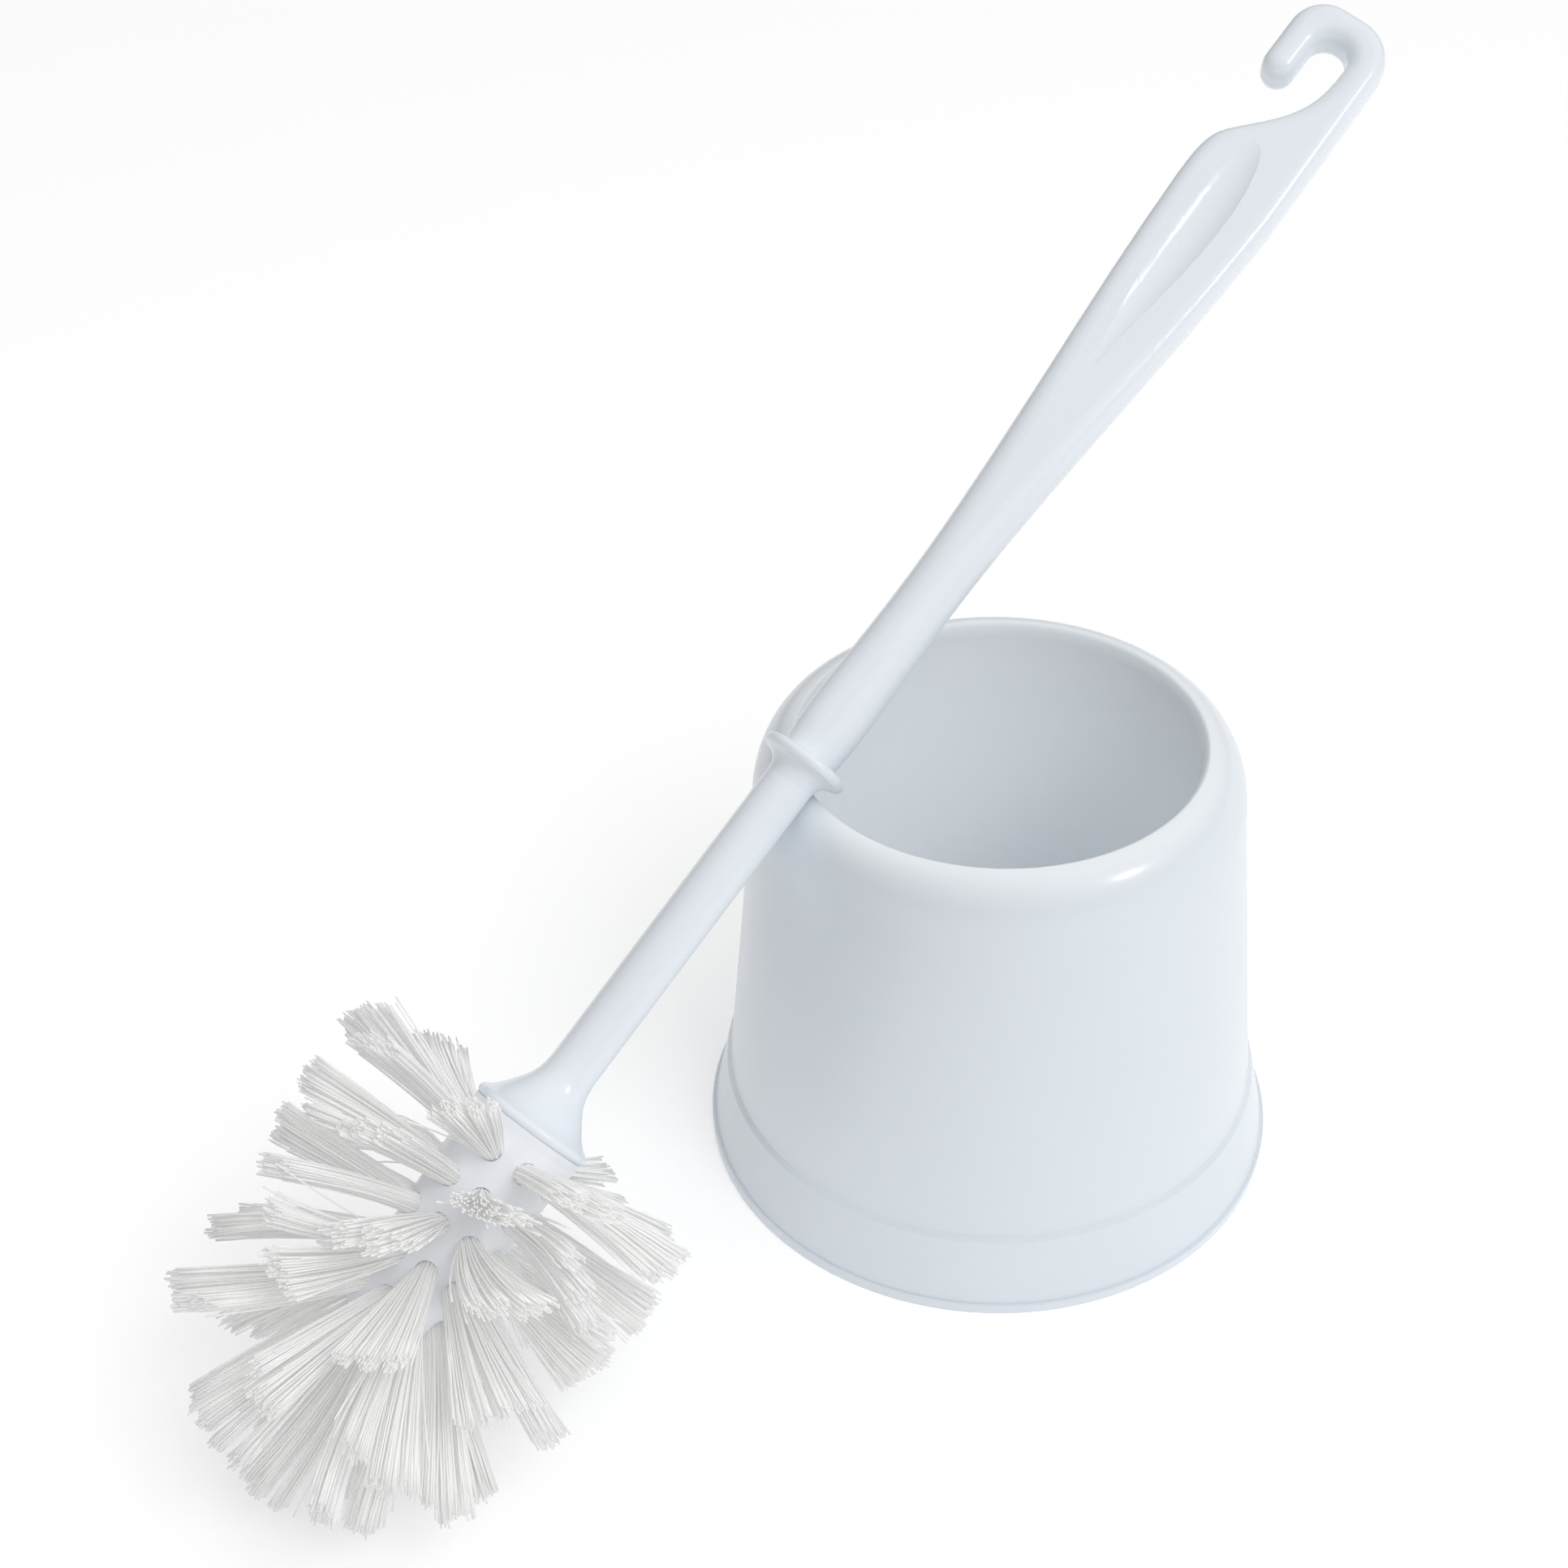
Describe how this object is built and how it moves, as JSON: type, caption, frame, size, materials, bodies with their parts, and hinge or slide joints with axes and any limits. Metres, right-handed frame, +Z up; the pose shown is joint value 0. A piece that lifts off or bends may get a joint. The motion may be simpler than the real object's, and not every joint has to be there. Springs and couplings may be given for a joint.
{
  "type": "toilet brush holder",
  "caption": "White plastic toilet brush set: a round flared holder with a rolled rim, and a brush with a hooked flat grip, a collar and a round bristle head, leaning outside the holder.",
  "frame": {"origin": "centre of the holder's underside, on the floor that the holder stands on", "axes": "+Z up along the holder's axis; the brush leans over the rim towards -X and -Y, and its hook points up towards +X and +Y"},
  "size_m": [0.2306, 0.2587, 0.2228],
  "materials": {
    "holder_plastic": "smooth glossy",
    "brush_plastic": "smooth glossy",
    "bristle": "fine trimmed filaments, slightly translucent"
  },
  "bodies": {
    "holder": {"holder": "holder_plastic"},
    "brush": {"handle": "brush_plastic", "head_core": "brush_plastic", "tuft_01": "bristle", "tuft_02": "bristle", "tuft_03": "bristle", "tuft_04": "bristle", "tuft_05": "bristle", "tuft_06": "bristle", "tuft_07": "bristle", "tuft_08": "bristle", "tuft_09": "bristle", "tuft_10": "bristle", "tuft_11": "bristle", "tuft_12": "bristle", "tuft_13": "bristle", "tuft_14": "bristle", "tuft_15": "bristle", "tuft_16": "bristle", "tuft_17": "bristle", "tuft_18": "bristle", "tuft_19": "bristle", "tuft_20": "bristle", "tuft_21": "bristle", "tuft_22": "bristle", "tuft_23": "bristle", "tuft_24": "bristle", "tuft_25": "bristle", "tuft_26": "bristle", "tuft_27": "bristle", "tuft_28": "bristle", "tuft_29": "bristle", "tuft_30": "bristle", "tuft_31": "bristle", "tuft_32": "bristle", "tuft_33": "bristle", "tuft_34": "bristle", "tuft_35": "bristle", "tuft_36": "bristle", "tuft_37": "bristle", "tuft_38": "bristle", "tuft_39": "bristle", "tuft_40": "bristle", "tuft_41": "bristle", "tuft_42": "bristle", "tuft_43": "bristle", "tuft_44": "bristle", "tuft_45": "bristle", "tuft_46": "bristle", "tuft_47": "bristle", "tuft_48": "bristle", "tuft_49": "bristle", "tuft_50": "bristle", "tuft_51": "bristle", "tuft_52": "bristle"}
  },
  "joints": [
    {"name": "brush_lift", "type": "slide", "parent": "holder", "child": "brush", "axis": [0, 0, 1], "range_m": [0, 0.25]}
  ]
}
